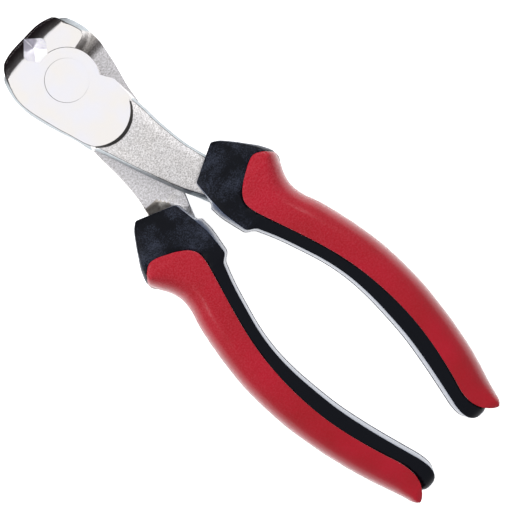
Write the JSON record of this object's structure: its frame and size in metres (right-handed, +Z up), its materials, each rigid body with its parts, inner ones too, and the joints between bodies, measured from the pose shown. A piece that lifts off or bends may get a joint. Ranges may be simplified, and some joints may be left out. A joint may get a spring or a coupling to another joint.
{
  "type": "end cutting nippers",
  "caption": "Hand tool with two forged levers on a flush rivet, end cutting edges, and curved two-layer grips with hand guards.",
  "frame": {"origin": "on the pivot axis, at the ground underside of the head, which lies on the bench", "axes": "+Z up along the pivot axis, +Y from the pivot towards the cutting edges, +X towards the front lever's handle"},
  "size_m": [0.0602, 0.18, 0.02],
  "materials": {
    "lever_steel": "ground faces, blasted shank",
    "rivet_steel": "ground flush",
    "hard_sleeve": "satin moulded plastic",
    "soft_cover": "satin soft plastic"
  },
  "bodies": {
    "front_half": {"front_lever": "lever_steel", "pivot_rivet": "rivet_steel", "front_grip_sleeve": "hard_sleeve", "front_grip_cover": "soft_cover"},
    "rear_half": {"rear_lever": "lever_steel", "rear_grip_sleeve": "hard_sleeve", "rear_grip_cover": "soft_cover"}
  },
  "joints": [
    {"name": "jaw_pivot", "type": "hinge", "parent": "front_half", "child": "rear_half", "pos_m": [0, 0, 0.01], "axis": [0, 0, -1], "range_deg": [0, 60]}
  ]
}
